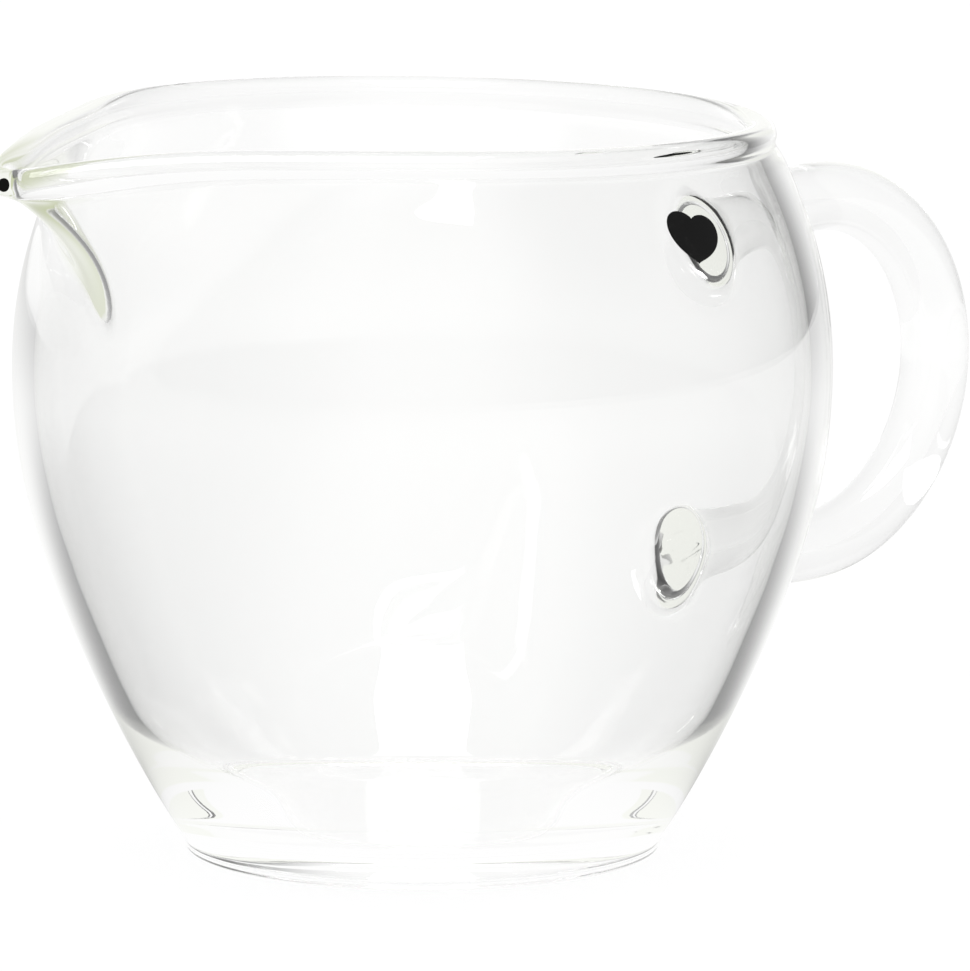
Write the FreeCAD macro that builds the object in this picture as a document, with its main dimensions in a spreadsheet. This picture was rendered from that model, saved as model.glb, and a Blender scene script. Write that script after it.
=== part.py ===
import FreeCAD, Part
import math
import os
import Sketcher

# A small serving jug of clear glass, blown and pulled by hand.
# One piece: a round-shouldered bowl on a disc foot, a beaded rim pulled out into a pouring lip,
# and a solid round rod bent into a loop and melted onto the wall at two places.
# Frame: the bowl's axis is Z, the foot stands on z = 0, the handle points to +X and the lip to -X.

NODE = "jug"

# Driving dimensions, in millimetres and degrees
SIZES = {
    "foot_radius": 24.7,
    "foot_rise": 1.1,
    "foot_edge": 0.7,
    "foot_step": 0.1,
    "belly_radius": 42.6,
    "belly_height": 50.5004,
    "rim_height": 76.4,
    "rim_rise": 1.55,
    "shoulder_fall": 6.4,
    "neck_step": 0.8,
    "bead_radius": 1.65,
    "wall": 2.3,
    "rim_wall": 2.5,
    "base_thickness": 4.0,
    "heel_height": 16.0,
    "heel_curve": 12.0,
    "corner_radius": 5.0,
    "lip_pull": 21.3,
    "lip_nose": 4.0,
    "lip_wall": 2.9,
    "lip_curve": 90.0,
    "channel_nose": 2.0,
    "rod_diameter": 7.6,
    "loop_depth": 31.9,
    "weld_flare": 2.2,
}
# Slopes in degrees, and shares: of the belly's height and of its overhang for where the flank joins it,
# and of the rim's height for the handle's level and its two bends
SIZES |= {
    "cone_slope": 48.0,
    "upper_slope": 14.0,
    "lower_slope": 4.0,
    "flank_share": 0.647,
    "overhang_share": 0.16,
    "loop_level_share": 0.594,
    "upper_bend_share": 0.238,
    "lower_bend_share": 0.259,
}

# Sections between the belly and the neck, and the power by which the lip swells out over them
SHOULDER_STEPS = 4
LIP_SWELL = 2.7
# Half-angles where a round section is split, so that it has as many edges as a pulled one
SPLIT_WIDE = math.radians(5)
SPLIT_NARROW = math.radians(2)
# How far round from the handle the rim's bead starts, before it is cut off at the middle
SPLIT_BACK = math.radians(10)
# How far shapes that cut run past what they cut, and how near counts as touching
OVERRUN = 4.0
TOUCH = 0.001

# Lengths that follow from the sizes, as the sheet's expressions
FLANK_HEIGHT = "(sizes.flank_share * sizes.belly_height)"
FLANK_DROP = f"(sizes.belly_height - {FLANK_HEIGHT})"
OVERHANG = "(sizes.overhang_share * (sizes.belly_radius - sizes.foot_radius))"
BELLY_CURVE = f"(({FLANK_DROP}^2 + {OVERHANG}^2) / (2 * {OVERHANG}))"
RIM_RADIUS = "(sizes.belly_radius - sizes.shoulder_fall)"
NECK_RISE = "(sizes.rim_height - 2 * sizes.bead_radius - sizes.belly_height)"
NECK_FALL = "(sizes.shoulder_fall - sizes.neck_step)"
SHOULDER_CURVE = f"(({NECK_RISE}^2 + {NECK_FALL}^2) / (2 * {NECK_FALL}))"
LIP_REACH = f"({RIM_RADIUS} + sizes.lip_pull)"
# The middle of the bead at the back, and the outline that it follows round the rim
RIM_LINE = "(sizes.rim_height - sizes.bead_radius)"
MIDDLE_RADIUS = f"({RIM_RADIUS} - sizes.rim_wall / 2)"
MIDDLE_REACH = f"({LIP_REACH} - sizes.lip_wall / 2)"
MIDDLE_NOSE = "((sizes.lip_nose + sizes.channel_nose) / 2)"
# A level clear above the whole rim
ABOVE_RIM = f"(sizes.rim_height + {OVERRUN})"
# The rod's ends start inside the hollow, which trims them flush with the wall
ROD_ROOT = "(sizes.belly_radius - sizes.wall - sizes.rod_diameter)"
LOOP_REACH = "(sizes.belly_radius + sizes.loop_depth)"
LOOP_HEIGHT = "(sizes.loop_level_share * sizes.rim_height)"
UPPER_BEND = "(sizes.upper_bend_share * sizes.rim_height)"
LOWER_BEND = "(sizes.lower_bend_share * sizes.rim_height)"

# Sketch references: the sketch's origin and axes, and the three points of an arc
ORIGIN = -1
LEVEL_AXIS = -1
UPRIGHT_AXIS = -2
START, END, CENTRE = range(1, 4)

UP = FreeCAD.Vector(0, 0, 1)
QUARTER = math.pi / 2


def vec(x, y):
    return FreeCAD.Vector(x, y, 0)


def polar(centre, radius, angle):
    return centre + vec(radius * math.cos(angle), radius * math.sin(angle))


def line(first, last):
    return Part.LineSegment(first, last)


def arc(centre, radius, first, last):
    """An arc that runs anticlockwise from one angle to another, in radians."""
    return Part.ArcOfCircle(Part.Circle(centre, UP, radius), first, last)


def make_sheet(doc):
    sheet = doc.addObject("Spreadsheet::Sheet", "sizes")
    for row, (name, value) in enumerate(SIZES.items(), start=1):
        sheet.set(f"A{row}", name)
        sheet.set(f"B{row}", str(value))
        sheet.setAlias(f"B{row}", name)
    doc.recompute()


def body_sketch(body, name, role):
    plane = next(item for item in body.Origin.OriginFeatures if item.Role == role)
    sketch = body.newObject("Sketcher::SketchObject", name)
    sketch.AttachmentSupport = [(plane, "")]
    sketch.MapMode = "FlatFace"
    return sketch


def tie(sketch, kind, *where):
    sketch.addConstraint(Sketcher.Constraint(kind, *where))


def bind(sketch, expression, kind, *where):
    """Adds a size to a sketch and ties it to the sheet."""
    value = sketch.evalExpression(expression)
    if kind == "Angle":
        value = math.radians(value)
    index = sketch.addConstraint(Sketcher.Constraint(kind, *where, value))
    sketch.setExpression(f"Constraints[{index}]", expression)


def place(sketch, across, up, geometry, point):
    """Ties a point's two coordinates to the sheet."""
    bind(sketch, across, "DistanceX", ORIGIN, START, geometry, point)
    bind(sketch, up, "DistanceY", ORIGIN, START, geometry, point)


# Heights and radii of the shoulder, at a share of the way from the belly to the neck
def shoulder_height(share):
    return f"(sizes.belly_height + {NECK_RISE} * {share})"


def shoulder_radius(share):
    return f"(sizes.belly_radius - {SHOULDER_CURVE} + sqrt({SHOULDER_CURVE}^2 - ({NECK_RISE} * {share})^2))"


def reach_at(radius, height):
    """How far the lip comes out at a height: it swells out of the shoulder and is at its full pull at the rim."""
    share = f"(({height} - sizes.belly_height) / ({RIM_LINE} - sizes.belly_height))"
    return f"({radius} + sizes.lip_pull * {share}^{LIP_SWELL})"


def blend(first, last, share):
    return f"({first} + ({last} - {first}) * {share})"


def draw_flank_and_belly(sketch, helper):
    """Draws the outside from the foot to the belly and returns its two arcs, flank first."""
    belly_curve = sketch.evalExpression(BELLY_CURVE)
    step = vec(SIZES["foot_radius"] - SIZES["foot_step"], SIZES["foot_rise"])
    belly_centre = vec(SIZES["belly_radius"] - belly_curve, SIZES["belly_height"])
    dip = math.asin(sketch.evalExpression(FLANK_DROP) / belly_curve)
    join = polar(belly_centre, belly_curve, -dip)
    inward = (belly_centre - join).normalize()
    chord = step - join
    flank_curve = chord.dot(chord) / (2 * chord.dot(inward))
    flank_centre = join + inward * flank_curve
    foot_angle = math.atan2(step.y - flank_centre.y, step.x - flank_centre.x)
    flank, belly = sketch.addGeometry([
        arc(flank_centre, flank_curve, foot_angle, -dip),
        arc(belly_centre, belly_curve, -dip, 0),
    ], helper)
    tie(sketch, "Tangent", flank, END, belly, START)
    tie(sketch, "Horizontal", belly, CENTRE, belly, END)
    place(sketch, "sizes.foot_radius - sizes.foot_step", "sizes.foot_rise", flank, START)
    place(sketch, "sizes.belly_radius", "sizes.belly_height", belly, END)
    bind(sketch, FLANK_HEIGHT, "DistanceY", ORIGIN, START, flank, END)
    bind(sketch, BELLY_CURVE, "Radius", belly)
    return flank, belly


def draw_outside(sketch):
    """Half the section of the bowl without its hollow, from the foot's middle out and up to the belly."""
    flank, belly = draw_flank_and_belly(sketch, False)
    foot = SIZES["foot_radius"]
    edge = SIZES["foot_edge"]
    rise = SIZES["foot_rise"]
    top = SIZES["belly_height"]
    under, rounding, side, step, over, axis = sketch.addGeometry([
        line(vec(0, 0), vec(foot - edge, 0)),
        arc(vec(foot - edge, edge), edge, -QUARTER, 0),
        line(vec(foot, edge), vec(foot, rise)),
        line(vec(foot, rise), vec(foot - SIZES["foot_step"], rise)),
        line(vec(SIZES["belly_radius"], top), vec(0, top)),
        line(vec(0, top), vec(0, 0)),
    ], False)
    tie(sketch, "Coincident", under, START, ORIGIN, START)
    tie(sketch, "Horizontal", under)
    tie(sketch, "Tangent", under, END, rounding, START)
    tie(sketch, "Tangent", rounding, END, side, START)
    tie(sketch, "Vertical", side)
    tie(sketch, "Coincident", side, END, step, START)
    tie(sketch, "Horizontal", step)
    tie(sketch, "Coincident", step, END, flank, START)
    tie(sketch, "Coincident", belly, END, over, START)
    tie(sketch, "Horizontal", over)
    tie(sketch, "Coincident", over, END, axis, START)
    tie(sketch, "Coincident", axis, END, ORIGIN, START)
    tie(sketch, "Vertical", axis)
    bind(sketch, "sizes.foot_edge", "Radius", rounding)
    bind(sketch, "sizes.foot_radius", "DistanceX", ORIGIN, START, side, END)


def draw_inside(sketch):
    """Half the section of the hollow: the two arcs of the outside a wall further in, then heel, cone and floor."""
    flank, belly = draw_flank_and_belly(sketch, True)
    outer_flank = sketch.Geometry[flank]
    outer_belly = sketch.Geometry[belly]
    wall = SIZES["wall"]
    top = SIZES["belly_height"]
    floor = SIZES["base_thickness"]
    slope = math.radians(SIZES["cone_slope"])
    corner_radius = SIZES["corner_radius"]
    flank_radius = outer_flank.Radius - wall
    heel_angle = math.asin((SIZES["heel_height"] - outer_flank.Center.y) / flank_radius)
    heel_top = polar(outer_flank.Center, flank_radius, heel_angle)
    heel_centre = polar(heel_top, SIZES["heel_curve"], heel_angle + math.pi)
    heel_end = polar(heel_centre, SIZES["heel_curve"], slope - QUARTER)
    corner_top = floor + corner_radius * (1 - math.cos(slope))
    corner_x = heel_end.x - (heel_end.y - corner_top) / math.tan(slope)
    corner_centre = vec(corner_x - corner_radius * math.sin(slope), floor + corner_radius)
    ground, corner, cone, heel, inner_flank, inner_belly, over, axis = sketch.addGeometry([
        line(vec(0, floor), vec(corner_centre.x, floor)),
        arc(corner_centre, corner_radius, -QUARTER, slope - QUARTER),
        line(vec(corner_x, corner_top), heel_end),
        arc(heel_centre, SIZES["heel_curve"], slope - QUARTER, heel_angle),
        arc(outer_flank.Center, flank_radius, heel_angle, outer_flank.LastParameter),
        arc(outer_belly.Center, outer_belly.Radius - wall, outer_belly.FirstParameter, 0),
        line(vec(SIZES["belly_radius"] - wall, top), vec(0, top)),
        line(vec(0, top), vec(0, floor)),
    ], False)
    tie(sketch, "PointOnObject", ground, START, UPRIGHT_AXIS)
    tie(sketch, "Horizontal", ground)
    tie(sketch, "Tangent", ground, END, corner, START)
    tie(sketch, "Tangent", corner, END, cone, START)
    tie(sketch, "Tangent", cone, END, heel, START)
    tie(sketch, "Tangent", heel, END, inner_flank, START)
    tie(sketch, "Tangent", inner_flank, END, inner_belly, START)
    tie(sketch, "Coincident", inner_flank, CENTRE, flank, CENTRE)
    tie(sketch, "Coincident", inner_belly, CENTRE, belly, CENTRE)
    tie(sketch, "Coincident", inner_belly, END, over, START)
    tie(sketch, "Horizontal", over)
    tie(sketch, "Coincident", over, END, axis, START)
    tie(sketch, "PointOnObject", over, END, UPRIGHT_AXIS)
    tie(sketch, "Coincident", axis, END, ground, START)
    place(sketch, "sizes.belly_radius - sizes.wall", "sizes.belly_height", inner_belly, END)
    bind(sketch, "sizes.base_thickness", "DistanceY", ORIGIN, START, ground, START)
    bind(sketch, "sizes.corner_radius", "Radius", corner)
    bind(sketch, "sizes.cone_slope", "Angle", cone)
    bind(sketch, "sizes.heel_curve", "Radius", heel)
    bind(sketch, "sizes.heel_height", "DistanceY", ORIGIN, START, heel, END)


def draw_pulled_outline(sketch, radius, reach, nose, split_back):
    """A level outline with a round back and two straight flanks that meet in a round nose.

    Where the back is split, the outline starts and ends a little to one side of its middle.
    """
    back = sketch.evalExpression(radius)
    nose_size = sketch.evalExpression(nose)
    nose_centre = vec(nose_size - sketch.evalExpression(reach), 0)
    half = math.acos((nose_size - back) / nose_centre.x)
    near_angle = math.pi - half
    far_angle = math.pi + half
    first, near, tip, far = sketch.addGeometry([
        arc(vec(0, 0), back, -SPLIT_BACK if split_back else -near_angle, near_angle),
        line(polar(vec(0, 0), back, near_angle), polar(nose_centre, nose_size, near_angle)),
        arc(nose_centre, nose_size, near_angle, far_angle),
        line(polar(nose_centre, nose_size, far_angle), polar(vec(0, 0), back, far_angle)),
    ], False)
    last = first
    if split_back:
        last = sketch.addGeometry(arc(vec(0, 0), back, -near_angle, -SPLIT_BACK), False)
        tie(sketch, "Coincident", last, CENTRE, ORIGIN, START)
        tie(sketch, "Coincident", last, END, first, START)
        bind(sketch, f"{radius} * {math.sin(SPLIT_BACK)}", "DistanceY", last, END, ORIGIN, START)
    tie(sketch, "Coincident", first, CENTRE, ORIGIN, START)
    tie(sketch, "Tangent", first, END, near, START)
    tie(sketch, "Tangent", near, END, tip, START)
    tie(sketch, "Tangent", tip, END, far, START)
    tie(sketch, "Tangent", far, END, last, START)
    tie(sketch, "PointOnObject", tip, CENTRE, LEVEL_AXIS)
    bind(sketch, radius, "Radius", first)
    bind(sketch, nose, "Radius", tip)
    bind(sketch, f"{reach} - {nose}", "DistanceX", tip, CENTRE, ORIGIN, START)


def draw_round_outline(sketch, radius):
    """A level circle in four arcs, split as the pulled outlines above it are."""
    size = sketch.evalExpression(radius)
    splits = [SPLIT_WIDE, SPLIT_NARROW, -SPLIT_NARROW, -SPLIT_WIDE]
    ends = [math.pi - angle for angle in splits]
    starts = [ends[-1] - 2 * math.pi] + ends[:-1]
    arcs = sketch.addGeometry([arc(vec(0, 0), size, first, last) for first, last in zip(starts, ends)], False)
    for index, following in zip(arcs, arcs[1:]):
        tie(sketch, "Coincident", index, END, following, START)
    for index, angle in zip(arcs, splits):
        tie(sketch, "Coincident", index, CENTRE, ORIGIN, START)
        bind(sketch, f"{radius} * {math.sin(angle)}", "DistanceY", ORIGIN, START, index, END)
    tie(sketch, "Vertical", arcs[-1], END, arcs[0], START)
    bind(sketch, radius, "Radius", arcs[0])


def add_shoulder(body, name, kind, sections, nose):
    """A skin over level outlines, from the belly's circle up to a pulled one clear above the rim."""
    outlines = []
    for index, (height, radius, reach) in enumerate(sections):
        sketch = body_sketch(body, f"{name}_outline_{index}", "XY_Plane")
        sketch.setExpression("AttachmentOffset.Base.z", height)
        if index == 0:
            draw_round_outline(sketch, radius)
        else:
            draw_pulled_outline(sketch, radius, reach, nose, False)
        outlines.append(sketch)
    loft = body.newObject(kind, name)
    loft.Profile = outlines[0]
    loft.Sections = outlines[1:]


def draw_rod_line(sketch):
    """The handle's middle line: a rise off the shoulder, two arcs round the reach, and a run to the flank."""
    far = sketch.evalExpression(LOOP_REACH)
    level = sketch.evalExpression(LOOP_HEIGHT)
    upper_bend = sketch.evalExpression(UPPER_BEND)
    lower_bend = sketch.evalExpression(LOWER_BEND)
    rise = math.radians(SIZES["upper_slope"])
    dip = math.radians(SIZES["lower_slope"])
    root = sketch.evalExpression(ROD_ROOT)
    upper_centre = vec(far - upper_bend, level)
    lower_centre = vec(far - lower_bend, level)
    crest = polar(upper_centre, upper_bend, QUARTER + rise)
    trough = polar(lower_centre, lower_bend, -QUARTER - dip)
    upper_root = vec(root, crest.y - (crest.x - root) * math.tan(rise))
    lower_root = vec(root, trough.y + (trough.x - root) * math.tan(dip))
    top, upper, lower, bottom = sketch.addGeometry([
        line(upper_root, crest),
        arc(upper_centre, upper_bend, 0, QUARTER + rise),
        arc(lower_centre, lower_bend, -QUARTER - dip, 0),
        line(trough, lower_root),
    ], False)
    tie(sketch, "Tangent", top, END, upper, END)
    tie(sketch, "Coincident", upper, START, lower, END)
    tie(sketch, "Tangent", lower, START, bottom, START)
    tie(sketch, "Horizontal", upper, CENTRE, upper, START)
    tie(sketch, "Horizontal", lower, CENTRE, lower, END)
    place(sketch, LOOP_REACH, LOOP_HEIGHT, upper, START)
    bind(sketch, UPPER_BEND, "Radius", upper)
    bind(sketch, LOWER_BEND, "Radius", lower)
    bind(sketch, "sizes.upper_slope", "Angle", top)
    bind(sketch, "180 - sizes.lower_slope", "Angle", bottom)
    bind(sketch, ROD_ROOT, "DistanceX", ORIGIN, START, top, START)
    bind(sketch, ROD_ROOT, "DistanceX", ORIGIN, START, bottom, END)


def draw_circle(sketch, radius):
    circle = sketch.addGeometry(Part.Circle(vec(0, 0), UP, sketch.evalExpression(radius)), False)
    tie(sketch, "Coincident", circle, CENTRE, ORIGIN, START)
    bind(sketch, radius, "Radius", circle)


def rim_level(across):
    """The rim line's height over a place along X: it rises evenly from the back to where the lip starts."""
    run = f"({MIDDLE_RADIUS} + {RIM_RADIUS})"
    return f"({RIM_LINE} + sizes.rim_rise * ({MIDDLE_RADIUS} - {across}) / {run})"


def draw_rim_line(sketch):
    """The rim seen from the side: an even rise from the back, and an arc over the lip and down to its tip.

    Returns the arc and the rise.
    """
    bend_at = f"(-1 * {RIM_RADIUS})"
    back_at = f"({RIM_RADIUS} + {OVERRUN})"
    front_at = f"(-1 * {LIP_REACH} - sizes.lip_pull)"
    bend = vec(sketch.evalExpression(bend_at), sketch.evalExpression(rim_level(bend_at)))
    back = vec(sketch.evalExpression(back_at), sketch.evalExpression(rim_level(back_at)))
    curve = SIZES["lip_curve"]
    along = (bend - back).normalize()
    centre = bend + vec(-along.y, along.x) * curve
    start = math.atan2(bend.y - centre.y, bend.x - centre.x)
    end = math.acos((sketch.evalExpression(front_at) - centre.x) / curve)
    hump, rise = sketch.addGeometry([
        arc(centre, curve, start, end),
        line(bend, back),
    ], False)
    tie(sketch, "Tangent", hump, START, rise, START)
    place(sketch, bend_at, rim_level(bend_at), rise, START)
    place(sketch, back_at, rim_level(back_at), rise, END)
    bind(sketch, "sizes.lip_curve", "Radius", hump)
    bind(sketch, front_at, "DistanceX", ORIGIN, START, hump, END)
    return hump, rise


def draw_above_rim(sketch):
    """All that is cut away above the rim line."""
    hump, rise = draw_rim_line(sketch)
    front = sketch.getPoint(hump, END)
    back = sketch.getPoint(rise, END)
    over = sketch.evalExpression(ABOVE_RIM) + OVERRUN
    right, top, left = sketch.addGeometry([
        line(back, vec(back.x, over)),
        line(vec(back.x, over), vec(front.x, over)),
        line(vec(front.x, over), front),
    ], False)
    tie(sketch, "Coincident", rise, END, right, START)
    tie(sketch, "Vertical", right)
    tie(sketch, "Coincident", right, END, top, START)
    tie(sketch, "Horizontal", top)
    tie(sketch, "Coincident", top, END, left, START)
    tie(sketch, "Vertical", left)
    tie(sketch, "Coincident", left, END, hump, END)
    bind(sketch, f"{ABOVE_RIM} + {OVERRUN}", "DistanceY", ORIGIN, START, top, START)


def make_bowl(doc):
    """The glass without its beaded rim: bowl, pulled shoulder, handle and hollow."""
    body = doc.addObject("PartDesign::Body", "bowl_and_handle")
    outside = body_sketch(body, "outside", "YZ_Plane")
    draw_outside(outside)
    bowl = body.newObject("PartDesign::Revolution", "bowl")
    bowl.Profile = outside
    bowl.ReferenceAxis = (outside, ["V_Axis"])
    bowl.Angle = 360

    shares = [step / SHOULDER_STEPS for step in range(SHOULDER_STEPS + 1)]
    heights = [shoulder_height(share) for share in shares] + [ABOVE_RIM]
    radii = [shoulder_radius(share) for share in shares] + [RIM_RADIUS]
    reaches = [reach_at(radius, height) for radius, height in zip(radii, heights)]
    outer = list(zip(heights, radii, reaches))
    add_shoulder(body, "shoulder", "PartDesign::AdditiveLoft", outer, "sizes.lip_nose")

    rod_line = body_sketch(body, "rod_line", "XZ_Plane")
    draw_rod_line(rod_line)
    rod = body.newObject("Sketcher::SketchObject", "rod_section")
    rod.AttachmentSupport = [(rod_line, "Edge1")]
    rod.MapMode = "NormalToEdge"
    rod.MapPathParameter = 0
    draw_circle(rod, "sizes.rod_diameter / 2")
    handle = body.newObject("PartDesign::AdditivePipe", "handle")
    handle.Profile = rod
    handle.Spine = (rod_line, ["Edge1", "Edge2", "Edge3", "Edge4"])
    doc.recompute()

    def is_rod(face):
        first_u, last_u, first_v, last_v = face.ParameterRange
        middle = face.valueAt((first_u + last_u) / 2, (first_v + last_v) / 2)
        distance = Part.Vertex(middle).distToShape(rod_line.Shape)[0]
        return abs(distance - SIZES["rod_diameter"] / 2) < TOUCH

    welds = body.newObject("PartDesign::Fillet", "welds")
    welds.Base = (handle, edges_between(handle.Shape, is_rod))
    welds.setExpression("Radius", "sizes.weld_flare")

    inside = body_sketch(body, "inside", "YZ_Plane")
    draw_inside(inside)
    hollow = body.newObject("PartDesign::Groove", "hollow")
    hollow.Profile = inside
    hollow.ReferenceAxis = (inside, ["V_Axis"])
    hollow.Angle = 360
    walls = [blend("sizes.wall", "sizes.rim_wall", share) for share in shares] + ["sizes.rim_wall"]
    lips = [blend("sizes.wall", "sizes.lip_wall", share) for share in shares] + ["sizes.lip_wall"]
    inner = [(height, f"({radius} - {wall})", f"({reach} - {lip})")
             for (height, radius, reach), wall, lip in zip(outer, walls, lips)]
    add_shoulder(body, "mouth", "PartDesign::SubtractiveLoft", inner, "sizes.channel_nose")

    above_rim = body_sketch(body, "above_rim", "XZ_Plane")
    draw_above_rim(above_rim)
    trim = body.newObject("PartDesign::Pocket", "trim")
    trim.Profile = above_rim
    trim.Type = "ThroughAll"
    trim.Midplane = True
    doc.recompute()
    return body


def edges_between(shape, test):
    """Names of the edges between a face that passes a test and one that doesn't."""
    names = []
    for index, edge in enumerate(shape.Edges, start=1):
        passed = [test(face) for face in shape.ancestorsOfType(edge, Part.Face)]
        if any(passed) and not all(passed):
            names.append(f"Edge{index}")
    return names


def far_end(edge, point):
    return max([vertex.Point for vertex in edge.Vertexes], key=point.distanceToPoint)


def edges_across(shape, start):
    """Names of a ring's edges, in order from a point on one side, along the other side and back past the middle."""
    waiting = dict(enumerate(shape.Edges, start=1))
    point = start
    names = []
    while not names or point.y > -TOUCH:
        mark = Part.Vertex(point)
        touching = [index for index, edge in waiting.items() if edge.distToShape(mark)[0] < TOUCH]
        following = max(touching, key=lambda index: far_end(waiting[index], point).y)
        point = far_end(waiting.pop(following), point)
        names.append(f"Edge{following}")
    return names


def make_rim(doc):
    """The fire-polished bead that follows the rim, as a sweep cut off at the middle and its mirror image."""
    upright = FreeCAD.Rotation(FreeCAD.Vector(1, 0, 0), 90)
    side = doc.addObject("Sketcher::SketchObject", "rim_side")
    side.Placement = FreeCAD.Placement(FreeCAD.Vector(0, 0, 0), upright)
    draw_rim_line(side)
    plan = doc.addObject("Sketcher::SketchObject", "rim_plan")
    draw_pulled_outline(plan, MIDDLE_RADIUS, MIDDLE_REACH, MIDDLE_NOSE, True)

    side_sheet = doc.addObject("Part::Extrusion", "rim_side_sheet")
    side_sheet.Base = side
    side_sheet.DirMode = "Normal"
    side_sheet.Symmetric = True
    side_sheet.setExpression("LengthFwd", "4 * sizes.belly_radius")
    plan_sheet = doc.addObject("Part::Extrusion", "rim_plan_sheet")
    plan_sheet.Base = plan
    plan_sheet.DirMode = "Normal"
    plan_sheet.setExpression("LengthFwd", ABOVE_RIM)
    rim_line = doc.addObject("Part::Section", "rim_line")
    rim_line.Base = side_sheet
    rim_line.Tool = plan_sheet

    ring = doc.addObject("Sketcher::SketchObject", "bead_section")
    turned = FreeCAD.Rotation(UP, -math.degrees(SPLIT_BACK)) * upright
    ring.Placement = FreeCAD.Placement(FreeCAD.Vector(0, 0, 0), turned)
    ring_at = f"({MIDDLE_RADIUS} * {math.cos(SPLIT_BACK)})"
    ring.setExpression("Placement.Base.x", ring_at)
    ring.setExpression("Placement.Base.y", f"-1 * {MIDDLE_RADIUS} * {math.sin(SPLIT_BACK)}")
    ring.setExpression("Placement.Base.z", rim_level(ring_at))
    draw_circle(ring, "sizes.bead_radius")
    doc.recompute()
    bead = doc.addObject("Part::Sweep", "bead_across")
    bead.Sections = [ring]
    bead.Spine = (rim_line, edges_across(rim_line.Shape, ring.Placement.Base))
    bead.Solid = True
    bead.Frenet = False
    bead.Transition = "Transformed"

    side_box = doc.addObject("Part::Box", "one_side")
    side_box.setExpression("Length", "4 * sizes.belly_radius")
    side_box.setExpression("Width", "2 * sizes.belly_radius")
    side_box.setExpression("Height", "2 * sizes.rim_height")
    side_box.setExpression("Placement.Base.x", "-2 * sizes.belly_radius")
    half = doc.addObject("Part::Common", "bead_half")
    half.Base = bead
    half.Tool = side_box
    half.Refine = False
    mirrored = doc.addObject("Part::Mirroring", "bead_mirrored")
    mirrored.Source = half
    mirrored.Normal = FreeCAD.Vector(0, 1, 0)
    return [half, mirrored]


def check_document(doc):
    """Stops if any object failed, or a solid is missing or faulty."""
    for item in doc.Objects:
        if "Invalid" in item.State or "Error" in item.State:
            raise RuntimeError(f"{item.Name} failed: {item.State}")
        shape = getattr(item, "Shape", None)
        if shape is not None and (shape.isNull() or not shape.isValid()):
            raise RuntimeError(f"{item.Name} has no valid shape")


def main():
    doc = FreeCAD.newDocument("serving_jug")
    make_sheet(doc)
    body = make_bowl(doc)
    jug = doc.addObject("Part::MultiFuse", NODE)
    jug.Label = NODE
    jug.Shapes = [body] + make_rim(doc)
    jug.Refine = False
    doc.recompute()
    check_document(doc)
    shape = jug.Shape
    if len(shape.Solids) != 1:
        raise RuntimeError("the glass isn't one piece")
    box = shape.optimalBoundingBox(True, False)
    print(f"{NODE}: {shape.Volume:.0f} mm3, x {box.XMin:.2f} to {box.XMax:.2f}, "
          f"y {box.YMin:.2f} to {box.YMax:.2f}, z {box.ZMin:.2f} to {box.ZMax:.2f}")
    os.makedirs("parts", exist_ok=True)
    shape.exportStep(f"parts/{jug.Label}.step")


main()
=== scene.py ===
import bmesh
import bpy
import math
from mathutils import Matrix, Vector


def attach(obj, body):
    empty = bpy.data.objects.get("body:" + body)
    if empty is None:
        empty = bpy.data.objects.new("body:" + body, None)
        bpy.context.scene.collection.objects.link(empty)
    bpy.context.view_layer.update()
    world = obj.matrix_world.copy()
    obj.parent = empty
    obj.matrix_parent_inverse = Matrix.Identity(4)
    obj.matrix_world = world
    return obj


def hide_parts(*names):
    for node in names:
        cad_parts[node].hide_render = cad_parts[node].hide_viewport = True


# A small clear glass serving jug on white: one smooth closed skin of glass, with its rim bead,
# pulled lip, disc foot and melted-on rod handle.

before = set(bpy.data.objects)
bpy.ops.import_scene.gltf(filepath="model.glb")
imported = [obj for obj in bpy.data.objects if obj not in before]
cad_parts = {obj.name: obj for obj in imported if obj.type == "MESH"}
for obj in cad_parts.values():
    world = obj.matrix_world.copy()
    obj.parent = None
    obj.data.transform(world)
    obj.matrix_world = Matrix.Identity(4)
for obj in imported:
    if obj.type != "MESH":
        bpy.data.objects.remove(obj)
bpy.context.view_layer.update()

MM = 0.001

# The bowl's outside, in millimetres: two arcs up to the belly, one over the shoulder
FOOT_RADIUS = 24.7
FOOT_TOP = Vector((24.6, 1.1))
FLANK_HEIGHT = 32.67
BELLY_RADIUS = 42.57
BELLY_HEIGHT = 50.5
BELLY_CURVE = 56.9
SHOULDER_CURVE = 48.4
NECK_HEIGHT = 73.1

# The wall, and the hollow's floor, cone and heel
WALL = 2.3
RIM_WALL = 2.5
FLOOR_HEIGHT = 4.0
CORNER_CURVE = 5.0
CONE_SLOPE = math.radians(48)
HEEL_HEIGHT = 16.0
HEEL_CURVE = 20.0

# The rim's bead, how far the lip is pulled out, and the rise and bend of the rim line toward it
RIM_RADIUS = 36.2
RIM_LINE = 74.75
RIM_RISE = 1.55
BEAD_RADIUS = 1.65
LIP_PULL = 21.3
LIP_SWELL = 2.7
LIP_NOSE = 4.0
KEEL_NOSE = 1.8
KEEL_SWELL = 3
CHANNEL_NOSE = 2.0
LIP_WALL = 2.9
LIP_CURVE = 90.0
RISE_FOOT = 60.0

# The handle's rod: its middle line is a line, two arcs and a line
ROD_RADIUS = 3.8
LOOP_REACH = 74.45
LOOP_HEIGHT = 45.4
UPPER_CURVE = 18.2
LOWER_CURVE = 19.8
UPPER_SLOPE = math.radians(14)
LOWER_SLOPE = math.radians(4)
# A weld's flare, and the shares of it at which its wide foot and its end at the rod lie
WELD_FLARE = 2.2
FLARE_FOOT = 0.35
FLARE_END = 1.15

# The mesh: columns round the bowl, half the columns and rows of a weld's hole, and steps of the loop
COLUMNS = 80
HOLE_HALF = 2
ROD_SIDES = 8 * HOLE_HALF
LOOP_STEPS = 7
CORNER_STEPS = 3
SMOOTHING = 2
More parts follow.
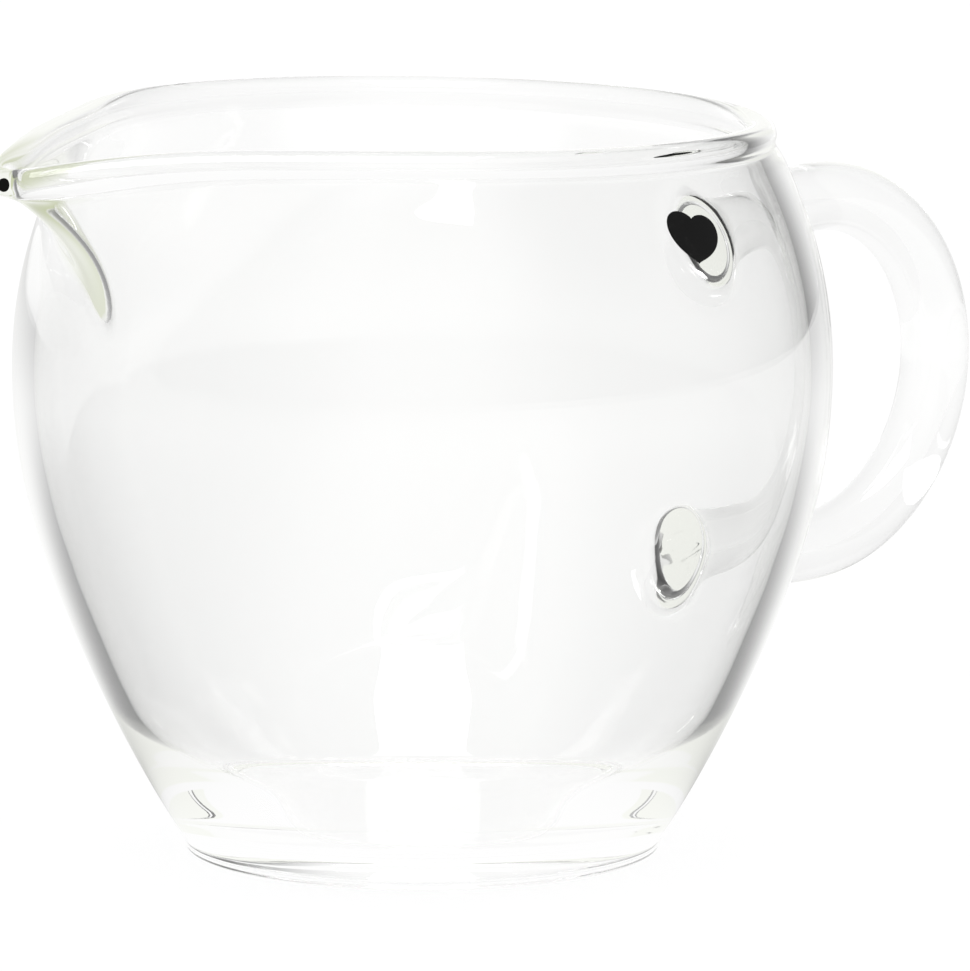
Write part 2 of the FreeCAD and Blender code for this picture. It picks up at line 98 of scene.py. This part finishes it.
# The lip's half of the columns, and how much they crowd toward the lip's tip
LIP_SPREAD = math.radians(68)
LIP_CROWDING = 0.35
# Rounds in which a place is found again until it hardly moves
LIFT_ROUNDS = 4
WELD_ROUNDS = 8
# Angles in a weld's hole are rounded to half of this one
EIGHTH = math.pi / 4
# How near a hole's edge counts as its own, and the levels between which each weld's open edges lie
EDGE_MARGIN = 1
UPPER_LEVELS = (40, 80)
LOWER_LEVELS = (10, 40)
# In metres: moves that are left out, and vertices that are merged
NO_MOVE = 1e-7
SAME_PLACE = 1e-6

# Rings of the skin: radii under the foot, the foot's edge as radius and height, heights of the outside and
# the inside, angles round the bead in degrees, and radii of the hollow's floor
FOOT_FLAT = (8, 16, 22, 23.7)
FOOT_EDGE = ((24.35, 0.18), (24.65, 0.6), (FOOT_RADIUS, 1.0), (24.62, 1.15), (24.85, 1.6))
FLANK_HEIGHTS = [3, 5.5, 9, 13, 17, 21, 24, 27, 30, 33, 37, 41, 46, 51, 55, 58, 61, 64, 67, 69.5, 71.3, 72.7]
HOLLOW_HEIGHTS = [72.7, 71.3, 69.5, 67, 64, 60, 56, 51, 46, 41, 36, 31, 26, 21, 17.5]
BEAD_TURNS = [-38, -12, 14, 40, 66, 90, 114, 140, 166, 192, 218]
FLOOR_RADII = (14, 9, 4)

# The glass: its tint and bending of light, and how much of the light to the floor it lets through
TINT = (0.999, 1.0, 0.996)
BENDING = 1.47
SHADE = (0.985, 0.985, 0.985)
# How deep a ray goes, and how often it is mirrored, before it ends in a painted pale glow, greener at the lip
DEEPEST = 8
MOST_MIRRORED = 3
PAINTED_GLOW = (0.95, 0.96, 0.91)
PAINTED_GLOW_LIP = (0.60, 0.64, 0.44)
LIP_GLOW_FROM = -32
LIP_GLOW_FULL = -44

# The painted dark reflection at the upper weld, a heart-shaped spot: its place across and up, and half its
# width and height. It is kept to the inner wall, this far in from the outside, and to the handle's side
HEART_REFLECTION_AT = (-0.9, 60.6)
HEART_REFLECTION_HALF = (3.6, 2.6)
HEART_REFLECTION_DEPTH = 1.2
HEART_REFLECTION_SIDE = 30
# The painted dark reflection at the lip's tip, a dot: its place and radius
TIP_REFLECTION_AT = (-57.5, -1.2, 74.8)
TIP_REFLECTION_RADIUS = 0.75
# The near-black light that both painted dark reflections give off
DARK_REFLECTION_COLOUR = (0.008, 0.008, 0.008)

# The paper under the jug
PAPER_SIDES = 96
PAPER_RADIUS = 0.9
PAPER_COLOUR = (0.9, 0.9, 0.9)
PAPER_ROUGHNESS = 0.9
# Its painted glow for mirrored rays, darkened as painted shade: by how far to the side it is seen,
# and by the distance from the jug in metres
PAPER_SIDE = (0.4, 0.95)
PAPER_NEAR = (0.025, 0.045)
PAPER_FAR = (0.08, 0.3)
SIDE_DARK = 0.7
PAPER_FADE = (0.1, 0.8)
PAPER_FADED = 0.75

# The camera, in metres, and millimetres for its lens
VIEW_AZIMUTH = math.radians(-42)
VIEW_PITCH = math.radians(9.05)
CAMERA_DISTANCE = 1.2
CAMERA_TARGET = Vector((0, 0, 0.038))
LENS = 429.4
SENSOR = 36
SHIFT_X = 0.0643
SHIFT_Y = 0.0018

# The studio as mirrored rays see it, by the way to the camera, the way to its right and the way up.
# An edge is the pair of shares of a way between which a level changes
TO_CAMERA = Vector((
    math.sin(VIEW_AZIMUTH) * math.cos(VIEW_PITCH),
    -math.cos(VIEW_AZIMUTH) * math.cos(VIEW_PITCH),
    math.sin(VIEW_PITCH),
))
TO_RIGHT = Vector((math.cos(VIEW_AZIMUTH), math.sin(VIEW_AZIMUTH), 0))
TO_TOP = (0, 0, 1)
FRONT_EDGE = (-0.9, -0.3)
FRONT_LEVEL = 0.62
RIGHT_EDGE = (0.15, 0.75)
RIGHT_LEVEL = 0.12
LEFT_EDGE = (0.55, 0.95)
LEFT_LEVEL = 0.45
TOP_EDGE = (0.25, 0.8)
TOP_LEVEL = 0.3
UNDER_EDGE = (-0.12, 0.02)
UNDER_SIDES = (0.25, 0.5)
UNDER_DARK = 0.15
# The softbox: half its width, its lower and upper edge as slopes, and its light
BOX_HALF = 0.24
BOX_LOW = 0.85
BOX_HIGH = 8.0
BOX_LEVEL = 6.0
LEAST_AHEAD = 0.001
# Extra light on the paper, and the count above which a ray has been mirrored
FLOOR_EXTRA = 0.15
MIRRORED_ONCE = 0.5


def polar(centre, radius, angle):
    return centre + radius * Vector((math.cos(angle), math.sin(angle)))


# The flank's arc, tangent to the belly's arc at the flank height and through the foot's top
belly_centre = Vector((BELLY_RADIUS - BELLY_CURVE, BELLY_HEIGHT))
flank_dip = math.asin((BELLY_HEIGHT - FLANK_HEIGHT) / BELLY_CURVE)
flank_join = polar(belly_centre, BELLY_CURVE, -flank_dip)
inward = (belly_centre - flank_join).normalized()
chord = FOOT_TOP - flank_join
flank_curve = chord.dot(chord) / (2 * chord.dot(inward))
flank_centre = flank_join + inward * flank_curve


def outer_radius(height):
    if height >= BELLY_HEIGHT:
        return BELLY_RADIUS - SHOULDER_CURVE + math.sqrt(SHOULDER_CURVE ** 2 - (height - BELLY_HEIGHT) ** 2)
    if height >= FLANK_HEIGHT:
        return belly_centre.x + math.sqrt(BELLY_CURVE ** 2 - (height - BELLY_HEIGHT) ** 2)
    return flank_centre.x + math.sqrt(flank_curve ** 2 - (height - flank_centre.y) ** 2)


def share_up(height):
    """How far a height is from the belly to the rim line, from 0."""
    return max((height - BELLY_HEIGHT) / (RIM_LINE - BELLY_HEIGHT), 0)


def wall_outside(height):
    """Radius, pull and nose of the outside at a height."""
    radius = outer_radius(min(height, NECK_HEIGHT))
    over = min(max((height - NECK_HEIGHT) / (RIM_LINE - NECK_HEIGHT), 0), 1)
    radius += (RIM_RADIUS - radius) * over
    share = share_up(height)
    nose = KEEL_NOSE + (LIP_NOSE - KEEL_NOSE) * share ** KEEL_SWELL
    return radius, LIP_PULL * share ** LIP_SWELL, nose


def wall_inside(height):
    """The same for the inside: a wall further in, square to the slope over 1 mm up and down."""
    radius, pull, nose = wall_outside(height)
    share = min(share_up(height), 1)
    lean = (wall_outside(height + 1)[0] - wall_outside(height - 1)[0]) / 2
    wall = (WALL + (RIM_WALL - WALL) * share) * math.hypot(1, lean)
    lip_wall = WALL + (LIP_WALL - WALL) * share
    return radius - wall, max(pull + wall - lip_wall, 0) if pull > 0 else 0, nose * CHANNEL_NOSE / LIP_NOSE


def rim_rise(x):
    """How far the rim line is above its back at an x: an even rise, then an arc over the lip."""
    run = 2 * RIM_RADIUS - RIM_WALL / 2
    tilt = math.atan(RIM_RISE / run)
    if x > -RIM_RADIUS:
        return RIM_RISE - (x + RIM_RADIUS) * math.tan(tilt)
    past = x + RIM_RADIUS + LIP_CURVE * math.sin(tilt)
    return RIM_RISE - LIP_CURVE * math.cos(tilt) + math.sqrt(LIP_CURVE ** 2 - past ** 2)


def outline_point(radius, pull, nose, turn):
    """A point of a level outline: a circle, pulled out toward -X with straight flanks and a round nose.

    turn is the column's angle from the lip. Columns past the lip's spread keep their place on the circle.
    """
    side = math.copysign(1, turn)
    turn = abs(turn)
    if pull <= 0 or turn >= LIP_SPREAD:
        return Vector((-radius * math.cos(turn), side * radius * math.sin(turn)))
    out = radius + pull - nose
    half = math.acos((radius - nose) / out)
    nose_run = nose * half
    flank_run = math.sqrt(out ** 2 - (radius - nose) ** 2)
    whole = nose_run + flank_run + radius * (LIP_SPREAD - half)
    share = turn / LIP_SPREAD
    run = whole * share ** (1 + LIP_CROWDING * pull / LIP_PULL)
    if run < nose_run:
        angle = run / nose
        return Vector((-out - nose * math.cos(angle), side * nose * math.sin(angle)))
    if run < nose_run + flank_run:
        along = run - nose_run
        x = -out - nose * math.cos(half) + along * math.sin(half)
        y = nose * math.sin(half) + along * math.cos(half)
        return Vector((x, side * y))
    angle = half + (run - nose_run - flank_run) / radius
    return Vector((-radius * math.cos(angle), side * radius * math.sin(angle)))


def heel_points():
    """The hollow's heel, cone, corner and floor, as points of its section."""
    inner_curve = flank_curve - WALL
    heel_turn = math.asin((HEEL_HEIGHT - flank_centre.y) / inner_curve)
    heel_top = polar(flank_centre, inner_curve, heel_turn)
    centre = polar(heel_top, HEEL_CURVE, heel_turn + math.pi)
    low = CONE_SLOPE - math.pi / 2
    steps = range(CORNER_STEPS + 1)
    heel = [polar(centre, HEEL_CURVE, heel_turn + (low - heel_turn) * step / CORNER_STEPS) for step in steps]
    corner_top = FLOOR_HEIGHT + CORNER_CURVE * (1 - math.cos(CONE_SLOPE))
    corner_x = heel[-1].x - (heel[-1].y - corner_top) / math.tan(CONE_SLOPE)
    corner_centre = Vector((corner_x - CORNER_CURVE * math.sin(CONE_SLOPE), FLOOR_HEIGHT + CORNER_CURVE))
    corner = [polar(corner_centre, CORNER_CURVE, low - CONE_SLOPE * step / CORNER_STEPS) for step in steps]
    floor = [Vector((radius, FLOOR_HEIGHT)) for radius in FLOOR_RADII]
    middle = (heel[-1] + corner[0]) / 2
    return heel + [middle] + corner + floor


def all_rings():
    """Rings of the skin, from the foot's middle out, up, over the bead and down inside.

    Each is a radius, a height, and what shapes it: None, "outside", "inside", or an angle round the bead.
    """
    rings = [(radius, 0, None) for radius in FOOT_FLAT]
    rings += [(radius, height, None) for radius, height in FOOT_EDGE]
    rings += [(outer_radius(height), height, "outside") for height in FLANK_HEIGHTS]
    middle = RIM_RADIUS - RIM_WALL / 2
    for degrees in BEAD_TURNS:
        turn = math.radians(degrees)
        rings.append((middle + BEAD_RADIUS * math.cos(turn), RIM_LINE + BEAD_RADIUS * math.sin(turn), degrees))
    rings += [(wall_inside(height)[0], height, "inside") for height in HOLLOW_HEIGHTS]
    rings += [(point.x, point.y, None) for point in heel_points()]
    return rings


def place_of(ring, turn):
    """Where a ring's vertex belongs, in millimetres, in a column at an angle from the lip."""
    radius, height, shaped_by = ring
    if shaped_by is None:
        point = outline_point(radius, 0, LIP_NOSE, turn)
        return Vector((point.x, point.y, height))
    if shaped_by in ("outside", "inside"):
        shape = wall_outside if shaped_by == "outside" else wall_inside
        lift = min(max((height - RISE_FOOT) / (RIM_LINE - BEAD_RADIUS - RISE_FOOT), 0), 1) ** 2
        point = outline_point(*shape(height), turn)
        for _ in range(LIFT_ROUNDS):
            lifted = height + lift * rim_rise(point.x)
            point = outline_point(*shape(lifted), turn)
        return Vector((point.x, point.y, lifted))
    spread = BEAD_RADIUS * math.cos(math.radians(shaped_by))
    rise = BEAD_RADIUS * math.sin(math.radians(shaped_by))
    middle = RIM_RADIUS - RIM_WALL / 2
    pull = LIP_PULL + RIM_WALL / 2 - LIP_WALL / 2
    nose = (LIP_NOSE + CHANNEL_NOSE) / 2
    line = outline_point(middle, pull, nose, turn)
    point = outline_point(middle + spread, pull, nose + spread, turn)
    return Vector((point.x, point.y, RIM_LINE + rise + rim_rise(line.x)))


def edit_mesh():
    return bmesh.from_edit_mesh(bpy.context.edit_object.data)


def select(mesh, items):
    """Selects these vertices, edges or faces, and nothing else."""
    bpy.ops.mesh.select_all(action="DESELECT")
    for item in items:
        item.select_set(True)
    mesh.select_flush_mode()


def move_vertex(vertex, move):
    """Moves one vertex alone, where nothing else is selected."""
    vertex.select_set(True)
    bpy.ops.transform.translate(value=move)
    vertex.select_set(False)


def extrude_by(move):
    """Extrudes the selected edges by a way in metres."""
    bpy.ops.mesh.extrude_edges_move(TRANSFORM_OT_translate={"value": move})


def ring_of(mesh):
    """The selected vertices by their angle round the jug from the lip."""
    return [(vertex.index, math.atan2(vertex.co.y, -vertex.co.x)) for vertex in mesh.verts if vertex.select]


def turn_bowl():
    """Builds the bowl ring by ring from the foot's middle, and returns each ring's vertices."""
    rings = all_rings()
    radius, height, _ = rings[0]
    bpy.ops.mesh.primitive_circle_add(
        vertices=COLUMNS, radius=radius * MM, fill_type="TRIFAN", location=(0, 0, height * MM)
    )
    bpy.ops.object.mode_set(mode="EDIT")
    bpy.ops.mesh.select_mode(type="EDGE")
    mesh = edit_mesh()
    select(mesh, [edge for edge in mesh.edges if edge.is_boundary])
    kept = []
    for ring in rings[1:]:
        extrude_by((0, 0, (ring[1] - height) * MM))
        factor = ring[0] / radius
        bpy.ops.transform.resize(value=(factor, factor, 1), center_override=(0, 0, ring[1] * MM))
        radius, height, _ = ring
        kept.append((ring, ring_of(edit_mesh())))
    bpy.ops.mesh.merge(type="CENTER")
    return kept


def pull_lip(kept):
    """Moves the vertices of the outside, bead and inside to the pulled lip, one by one."""
    bpy.ops.mesh.select_mode(type="VERT")
    mesh = edit_mesh()
    mesh.verts.ensure_lookup_table()
    bpy.ops.mesh.select_all(action="DESELECT")
    for ring, members in kept:
        if ring[2] is None:
            continue
        for index, turn in members:
            vertex = mesh.verts[index]
            move = place_of(ring, turn) * MM - vertex.co
            if move.length >= NO_MOVE:
                move_vertex(vertex, move)


def rod_line():
    """For each of the rod's two arcs its centre, the end where a straight part starts, and the way outward."""
    upper_centre = Vector((LOOP_REACH - UPPER_CURVE, LOOP_HEIGHT))
    lower_centre = Vector((LOOP_REACH - LOWER_CURVE, LOOP_HEIGHT))
    crest = polar(upper_centre, UPPER_CURVE, math.pi / 2 + UPPER_SLOPE)
    trough = polar(lower_centre, LOWER_CURVE, -math.pi / 2 - LOWER_SLOPE)
    rising = Vector((math.cos(UPPER_SLOPE), math.sin(UPPER_SLOPE)))
    falling = Vector((math.cos(LOWER_SLOPE), -math.sin(LOWER_SLOPE)))
    return (upper_centre, crest, rising), (lower_centre, trough, falling)


def weld_point(point, direction):
    """Where a straight end of the rod meets the bowl's outside."""
    place = point.copy()
    for _ in range(WELD_ROUNDS):
        place -= direction * (place.x - outer_radius(place.y)) / direction.x
    return place


def cut_hole(point, direction):
    """Cuts a hole in the bowl's outside and rounds it, for a rod that comes in along a direction."""
    mesh = edit_mesh()
    weld = weld_point(point, direction)
    rows = sorted(FLANK_HEIGHTS, key=lambda height: abs(height - weld.y))[:2 * HOLE_HALF + 1]
    low, high = min(rows), max(rows)
    reach = math.radians(360 / COLUMNS) * HOLE_HALF
    doomed = []
    for face in mesh.faces:
        place = face.calc_center_median() / MM
        outside = math.hypot(place.x, place.y) > outer_radius(place.z) - WALL / 2
        if low < place.z < high and abs(math.atan2(place.y, place.x)) < reach and outside:
            doomed.append(face)
    select(mesh, doomed)
    bpy.ops.mesh.delete(type="FACE")
    mesh = edit_mesh()
    edge = {vertex for item in mesh.edges if item.is_boundary for vertex in item.verts
            if low - EDGE_MARGIN < vertex.co.z / MM < high + EDGE_MARGIN}
    middle_height = (low + high) / 2
    half_width = weld.x * math.sin(reach)
    half_height = (high - low) / 2
    flare = ROD_RADIUS + WELD_FLARE
    upright = Vector((-direction.y, direction.x))
    bpy.ops.mesh.select_all(action="DESELECT")
    for vertex in edge:
        across = vertex.co.y / MM / half_width
        up = (vertex.co.z / MM - middle_height) / half_height
        turn = round(math.atan2(up, across) / EIGHTH * 2) / 2 * EIGHTH
        side = flare * math.cos(turn)
        place = weld + upright * (flare * math.sin(turn))
        for _ in range(WELD_ROUNDS):
            wall = math.sqrt(outer_radius(place.y) ** 2 - side ** 2)
            place -= direction * (place.x - wall) / direction.x
        move_vertex(vertex, Vector((place.x, side, place.y)) * MM - vertex.co)
    return weld


def flat_point(point):
    """A point of the XZ plane in millimetres, as a place in metres."""
    return Vector((point.x, 0, point.y)) * MM


def add_ring(centre, direction, radius):
    """Adds the rod's section at a place, square to a direction in the XZ plane."""
    bpy.ops.mesh.select_all(action="DESELECT")
    tilt = math.atan2(direction.x, direction.y)
    bpy.ops.mesh.primitive_circle_add(
        vertices=ROD_SIDES, radius=radius * MM, location=flat_point(centre), rotation=(0, tilt, 0)
    )


def bend_arc(centre, slope):
    """Turns the rod's end round a quarter and a slope more."""
    bpy.ops.mesh.spin(
        steps=LOOP_STEPS, angle=-math.pi / 2 - slope, center=flat_point(centre), axis=(0, 1, 0)
    )


def extrude_straight(start, end):
    """Extrudes the rod's end from one point to another in two equal parts."""
    for _ in range(2):
        extrude_by(flat_point((end - start) / 2))


def scale_end(factor, centre):
    bpy.ops.transform.resize(value=(factor, factor, factor), center_override=flat_point(centre))


def bend_handle():
    """Draws the rod from the upper weld round the loop to the lower one, and joins both ends to the wall."""
    (upper_centre, crest, rising), (lower_centre, trough, falling) = rod_line()
    upper_weld = cut_hole(crest, rising)
    lower_weld = cut_hole(trough, falling)
    bpy.ops.mesh.select_mode(type="EDGE")
    foot_radius = ROD_RADIUS + WELD_FLARE * FLARE_FOOT
    start = upper_weld + rising * WELD_FLARE * FLARE_FOOT
    add_ring(start, rising, foot_radius)
    neck = upper_weld + rising * WELD_FLARE * FLARE_END
    extrude_by(flat_point(neck - start))
    shrink = ROD_RADIUS / foot_radius
    scale_end(shrink, neck)
    extrude_straight(neck, crest)
    bend_arc(upper_centre, UPPER_SLOPE)
    bend_arc(lower_centre, LOWER_SLOPE)
    neck = lower_weld + falling * WELD_FLARE * FLARE_END
    extrude_straight(trough, neck)
    end = lower_weld + falling * WELD_FLARE * FLARE_FOOT
    extrude_by(flat_point(end - neck))
    scale_end(1 / shrink, end)
    for low, high in (UPPER_LEVELS, LOWER_LEVELS):
        mesh = edit_mesh()
        select(mesh, [edge for edge in mesh.edges
                      if edge.is_boundary and low < sum(vertex.co.z for vertex in edge.verts) / 2 / MM < high])
        bpy.ops.mesh.bridge_edge_loops()


def add_jug():
    kept = turn_bowl()
    pull_lip(kept)
    bend_handle()
    bpy.ops.mesh.select_all(action="SELECT")
    bpy.ops.mesh.remove_doubles(threshold=SAME_PLACE)
    bpy.ops.mesh.normals_make_consistent(inside=False)
    bpy.ops.object.mode_set(mode="OBJECT")
    jug = bpy.context.active_object
    jug.name = "jug_glass"
    bpy.ops.object.shade_smooth()
    smooth = jug.modifiers.new("smooth", "SUBSURF")
    smooth.levels = SMOOTHING
    smooth.render_levels = SMOOTHING
    bpy.ops.object.modifier_apply(modifier=smooth.name)
    return jug


def math_node(tree, operation, *values):
    """Adds a math node, whose inputs are numbers or the outputs of other nodes."""
    node = tree.nodes.new("ShaderNodeMath")
    node.operation = operation
    for socket, value in zip(node.inputs, values):
        if isinstance(value, (int, float)):
            socket.default_value = value
        else:
            tree.links.new(value, socket)
    return node.outputs["Value"]


def product(tree, *values):
    """Multiplies two or more values."""
    whole = values[0]
    for value in values[1:]:
        whole = math_node(tree, "MULTIPLY", whole, value)
    return whole


def vector_node(tree, operation, place, other=None):
    """Adds a vector node that gives one number for a place, or for a place and a fixed vector."""
    node = tree.nodes.new("ShaderNodeVectorMath")
    node.operation = operation
    tree.links.new(place, node.inputs[0])
    if other is not None:
        node.inputs[1].default_value = other
    return node.outputs["Value"]


def ramp(tree, value, edge, first, last):
    """Adds a smooth change from one level to another between the two values of an edge."""
    node = tree.nodes.new("ShaderNodeMapRange")
    node.interpolation_type = "SMOOTHSTEP"
    for name, level in (("From Min", edge[0]), ("From Max", edge[1]), ("To Min", first), ("To Max", last)):
        node.inputs[name].default_value = level
    tree.links.new(value, node.inputs["Value"])
    return node.outputs["Result"]


def mix_shaders(tree, factor, first, second):
    node = tree.nodes.new("ShaderNodeMixShader")
    for socket, value in zip(node.inputs, (factor, first, second)):
        tree.links.new(value, socket)
    return node.outputs["Shader"]


def painted_dark_reflections(tree, position, parts):
    """Two painted dark reflections: a heart on the inner wall at the upper weld, and a dot at the lip's tip.

    They stand for what the photograph shows there as dark images in thick glass.
    """
    x, y, z = (parts.outputs[name] for name in "XYZ")
    across = math_node(tree, "DIVIDE", math_node(tree, "SUBTRACT", y, HEART_REFLECTION_AT[0] * MM), HEART_REFLECTION_HALF[0] * MM)
    up = math_node(tree, "DIVIDE", math_node(tree, "SUBTRACT", z, HEART_REFLECTION_AT[1] * MM), HEART_REFLECTION_HALF[1] * MM)
    across_squared = product(tree, across, across)
    up_squared = product(tree, up, up)
    round_part = math_node(tree, "SUBTRACT", math_node(tree, "ADD", across_squared, up_squared), 1.0)
    cubed = product(tree, round_part, round_part, round_part)
    lobes = product(tree, across_squared, up_squared, up)
    heart = math_node(tree, "LESS_THAN", math_node(tree, "SUBTRACT", cubed, lobes), 0.0)
    from_axis = math_node(tree, "ADD", product(tree, x, x), product(tree, y, y))
    wall_limit = (outer_radius(HEART_REFLECTION_AT[1]) * MM - HEART_REFLECTION_DEPTH * MM) ** 2
    inner_wall = math_node(tree, "LESS_THAN", from_axis, wall_limit)
    handle_side = math_node(tree, "GREATER_THAN", x, HEART_REFLECTION_SIDE * MM)
    from_tip = vector_node(tree, "DISTANCE", position, Vector(TIP_REFLECTION_AT) * MM)
    dot = math_node(tree, "LESS_THAN", from_tip, TIP_REFLECTION_RADIUS * MM)
    return math_node(tree, "MAXIMUM", product(tree, heart, product(tree, inner_wall, handle_side)), dot)


def glass():
    """Clear glass, with its two painted dark reflections.

    Shadow rays and rays from the paper pass straight through. Rays that are too deep or mirrored too often
    end in a painted pale glow, greener at the lip, where real glass would lead them on.
    """
    material = bpy.data.materials.new("clear_glass")
    material.use_nodes = True
    tree = material.node_tree
    shader = tree.nodes["Principled BSDF"]
    shader.inputs["Base Color"].default_value = (*TINT, 1)
    shader.inputs["Roughness"].default_value = 0.0
    shader.inputs["IOR"].default_value = BENDING
    shader.inputs["Transmission Weight"].default_value = 1.0

    paths = tree.nodes.new("ShaderNodeLightPath")
    soft = math_node(tree, "MAXIMUM", paths.outputs["Is Shadow Ray"], paths.outputs["Is Diffuse Ray"])
    passing = tree.nodes.new("ShaderNodeBsdfTransparent")
    passing.inputs["Color"].default_value = (*SHADE, 1)
    whole = mix_shaders(tree, soft, shader.outputs["BSDF"], passing.outputs["BSDF"])

    place = tree.nodes.new("ShaderNodeNewGeometry")
    parts = tree.nodes.new("ShaderNodeSeparateXYZ")
    tree.links.new(place.outputs["Position"], parts.inputs["Vector"])
    # The painted glow's colour turns greener toward the lip
    forward = tree.nodes.new("ShaderNodeMapRange")
    forward.inputs["From Min"].default_value = LIP_GLOW_FROM * MM
    forward.inputs["From Max"].default_value = LIP_GLOW_FULL * MM
    tree.links.new(parts.outputs["X"], forward.inputs["Value"])
    glow_colour = tree.nodes.new("ShaderNodeMix")
    glow_colour.data_type = "RGBA"
    glow_colour.inputs["A"].default_value = (*PAINTED_GLOW, 1)
    glow_colour.inputs["B"].default_value = (*PAINTED_GLOW_LIP, 1)
    tree.links.new(forward.outputs["Result"], glow_colour.inputs["Factor"])
    # The painted glow: light given off where a ray ends, in place of what real glass would show
    light = tree.nodes.new("ShaderNodeEmission")
    tree.links.new(glow_colour.outputs["Result"], light.inputs["Color"])
    bounced = math_node(tree, "GREATER_THAN", paths.outputs["Glossy Depth"], MOST_MIRRORED)
    deep = math_node(tree, "GREATER_THAN", paths.outputs["Ray Depth"], DEEPEST)
    ended = math_node(tree, "MAXIMUM", bounced, deep)
    whole = mix_shaders(tree, ended, whole, light.outputs["Emission"])

    # The painted dark reflections, given off as near-black light over the glass
    dark_reflection = tree.nodes.new("ShaderNodeEmission")
    dark_reflection.inputs["Color"].default_value = (*DARK_REFLECTION_COLOUR, 1)
    dark_reflection_mask = painted_dark_reflections(tree, place.outputs["Position"], parts)
    whole = mix_shaders(tree, dark_reflection_mask, whole, dark_reflection.outputs["Emission"])
    tree.links.new(whole, tree.nodes["Material Output"].inputs["Surface"])
    return material


def paper():
    """The pale floor. Rays that glass mirrors onto it find a painted glow instead, with painted shade to both
    sides and far off.
    """
    material = bpy.data.materials.new("paper")
    material.use_nodes = True
    tree = material.node_tree
    shader = tree.nodes["Principled BSDF"]
    shader.inputs["Base Color"].default_value = (*PAPER_COLOUR, 1)
    shader.inputs["Roughness"].default_value = PAPER_ROUGHNESS
    shader.inputs["Specular IOR Level"].default_value = 0.0

    # Mirrored rays see a painted glow instead of the lit paper, with painted shade to the sides and far off
    paths = tree.nodes.new("ShaderNodeLightPath")
    mirrored = math_node(tree, "GREATER_THAN", paths.outputs["Glossy Depth"], MIRRORED_ONCE)
    place = tree.nodes.new("ShaderNodeNewGeometry").outputs["Position"]
    right = vector_node(tree, "DOT_PRODUCT", place, TO_RIGHT)
    away = vector_node(tree, "LENGTH", place)
    side = math_node(tree, "ABSOLUTE", math_node(tree, "DIVIDE", right, away))
    side = ramp(tree, side, PAPER_SIDE, 0.0, 1.0)
    near = ramp(tree, away, PAPER_NEAR, 0.0, 1.0)
    far = ramp(tree, away, PAPER_FAR, SIDE_DARK, SIDE_DARK / 2)
    level = math_node(tree, "SUBTRACT", 1.0, product(tree, side, product(tree, near, far)))
    level = product(tree, level, ramp(tree, away, PAPER_FADE, 1.0, PAPER_FADED))
    light = tree.nodes.new("ShaderNodeEmission")
    tree.links.new(level, light.inputs["Strength"])
    whole = mix_shaders(tree, mirrored, shader.outputs["BSDF"], light.outputs["Emission"])
    tree.links.new(whole, tree.nodes["Material Output"].inputs["Surface"])
    return material


def add_stage():
    bpy.ops.mesh.primitive_circle_add(
        vertices=PAPER_SIDES, radius=PAPER_RADIUS, fill_type="NGON", location=(0, 0, 0)
    )
    floor = bpy.context.active_object
    floor.name = "floor"
    floor.data.materials.append(paper())


def add_world():
    """White for all rays but mirrored ones, which find a grey front, dark sides and a softbox."""
    world = bpy.data.worlds.new("studio")
    bpy.context.scene.world = world
    world.use_nodes = True
    tree = world.node_tree
    background = tree.nodes["Background"]
    background.inputs["Color"].default_value = (1, 1, 1, 1)
    paths = tree.nodes.new("ShaderNodeLightPath")
    way = tree.nodes.new("ShaderNodeTexCoord").outputs["Generated"]

    front = vector_node(tree, "DOT_PRODUCT", way, TO_CAMERA)
    right = vector_node(tree, "DOT_PRODUCT", way, TO_RIGHT)
    up = vector_node(tree, "DOT_PRODUCT", way, TO_TOP)
    beside = math_node(tree, "ABSOLUTE", right)
    left_edge = (-LEFT_EDGE[1], -LEFT_EDGE[0])
    under = product(tree, ramp(tree, up, UNDER_EDGE, 1.0, 0.0), ramp(tree, beside, UNDER_SIDES, 0.0, 1.0))
    room = product(
        tree,
        ramp(tree, front, FRONT_EDGE, 1.0, FRONT_LEVEL),
        ramp(tree, right, RIGHT_EDGE, 1.0, RIGHT_LEVEL),
        ramp(tree, right, left_edge, LEFT_LEVEL, 1.0),
        ramp(tree, up, TOP_EDGE, 1.0, TOP_LEVEL),
        math_node(tree, "SUBTRACT", 1.0, product(tree, under, UNDER_DARK)),
    )

    over = math_node(tree, "DIVIDE", up, math_node(tree, "MAXIMUM", front, LEAST_AHEAD))
    box = product(
        tree,
        math_node(tree, "LESS_THAN", beside, BOX_HALF),
        math_node(tree, "GREATER_THAN", over, BOX_LOW),
        math_node(tree, "LESS_THAN", over, BOX_HIGH),
        BOX_LEVEL,
    )
    room = math_node(tree, "ADD", room, box)

    diffuse = paths.outputs["Is Diffuse Ray"]
    mirrored = math_node(tree, "GREATER_THAN", paths.outputs["Glossy Depth"], MIRRORED_ONCE)
    mirrored = product(tree, mirrored, math_node(tree, "SUBTRACT", 1.0, diffuse))
    lit = math_node(tree, "ADD", 1.0, product(tree, diffuse, FLOOR_EXTRA))
    whole = tree.nodes.new("ShaderNodeMix")
    whole.data_type = "FLOAT"
    for name, value in (("Factor", mirrored), ("A", lit), ("B", room)):
        tree.links.new(value, whole.inputs[name])
    tree.links.new(whole.outputs["Result"], background.inputs["Strength"])


def add_camera():
    data = bpy.data.cameras.new("camera")
    data.lens = LENS
    data.sensor_width = SENSOR
    data.shift_x = SHIFT_X
    data.shift_y = SHIFT_Y
    camera = bpy.data.objects.new("camera", data)
    camera.location = CAMERA_TARGET + TO_CAMERA * CAMERA_DISTANCE
    camera.rotation_euler = TO_CAMERA.to_track_quat("Z", "Y").to_euler()
    bpy.context.collection.objects.link(camera)
    bpy.context.scene.camera = camera


bpy.ops.object.select_all(action="DESELECT")
add_camera()
add_world()
add_stage()
bpy.ops.object.select_all(action="DESELECT")
jug = add_jug()
jug.data.materials.append(glass())
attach(jug, "root")
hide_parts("jug")

bpy.context.scene.view_settings.view_transform = "Standard"
